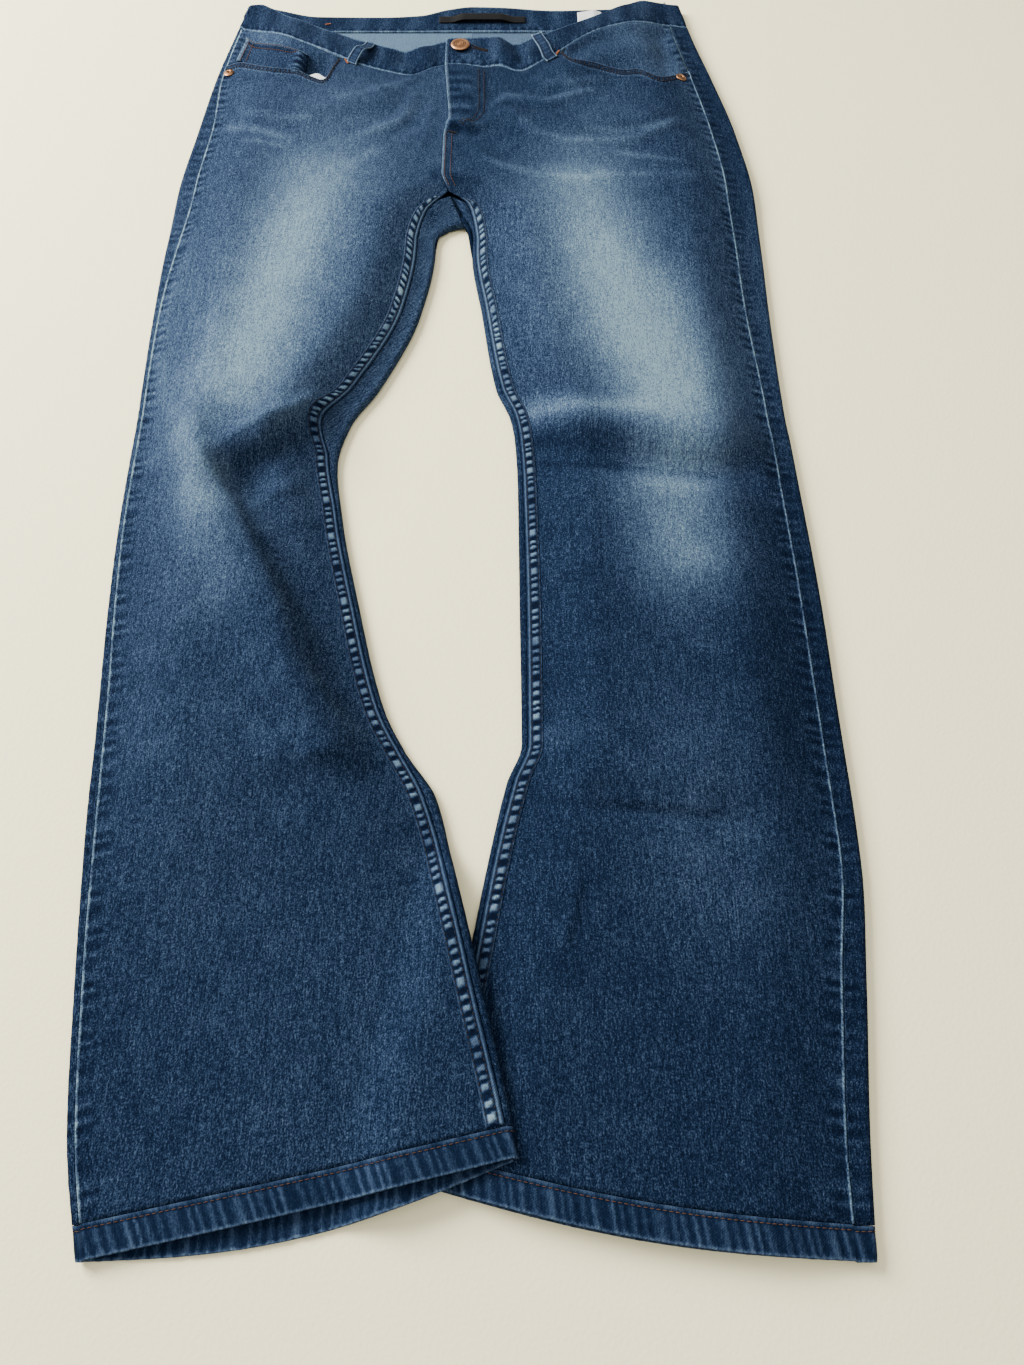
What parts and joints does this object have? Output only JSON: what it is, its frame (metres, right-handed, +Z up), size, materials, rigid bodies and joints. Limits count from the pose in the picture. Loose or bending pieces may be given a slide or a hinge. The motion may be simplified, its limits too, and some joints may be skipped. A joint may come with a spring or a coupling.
{
  "type": "jeans",
  "caption": "Bootcut denim jeans laid flat on their back, fly side up, with an open waist, lapped flared hems, a buttoned fly and front pockets.",
  "frame": {"origin": "centre of the bounding box at the surface that the jeans lie on", "axes": "+X towards the wearer's left leg, +Y from the hems up to the waist, +Z up from the surface, out of the fly side"},
  "size_m": [0.493, 1.077, 0.0378],
  "materials": {
    "denim": "washed indigo twill",
    "denim_back": "dark indigo twill",
    "seam_denim": "worn indigo twill",
    "pocket_white": "plain white pocket cloth",
    "black_tape": "matt black tape",
    "copper": "copper-coloured plating",
    "brass": "brass"
  },
  "bodies": {
    "root": {"front_right": "denim", "front_left": "denim", "back_right": "denim_back", "back_left": "denim_back", "yoke_right": "denim_back", "yoke_left": "denim_back", "hem_right": "seam_denim", "hem_left": "seam_denim", "inseam_right": "seam_denim", "inseam_left": "seam_denim", "facing_right": "denim", "facing_left": "denim", "coin_pocket": "denim", "pocket_bag_right": "pocket_white", "pocket_bag_left": "pocket_white", "back_pocket_right": "denim_back", "back_pocket_left": "denim_back", "waistband": "denim", "belt_loop_right": "seam_denim", "belt_loop_left": "seam_denim", "belt_loop_back": "seam_denim", "belt_loop_back_right": "seam_denim", "belt_loop_back_left": "seam_denim", "fly_shield": "denim", "zip_tape": "brass", "zip_slider": "brass", "button": "copper", "rivet_right": "copper", "rivet_left": "copper", "waist_tape": "black_tape", "care_tab": "pocket_white"}
  },
  "joints": []
}
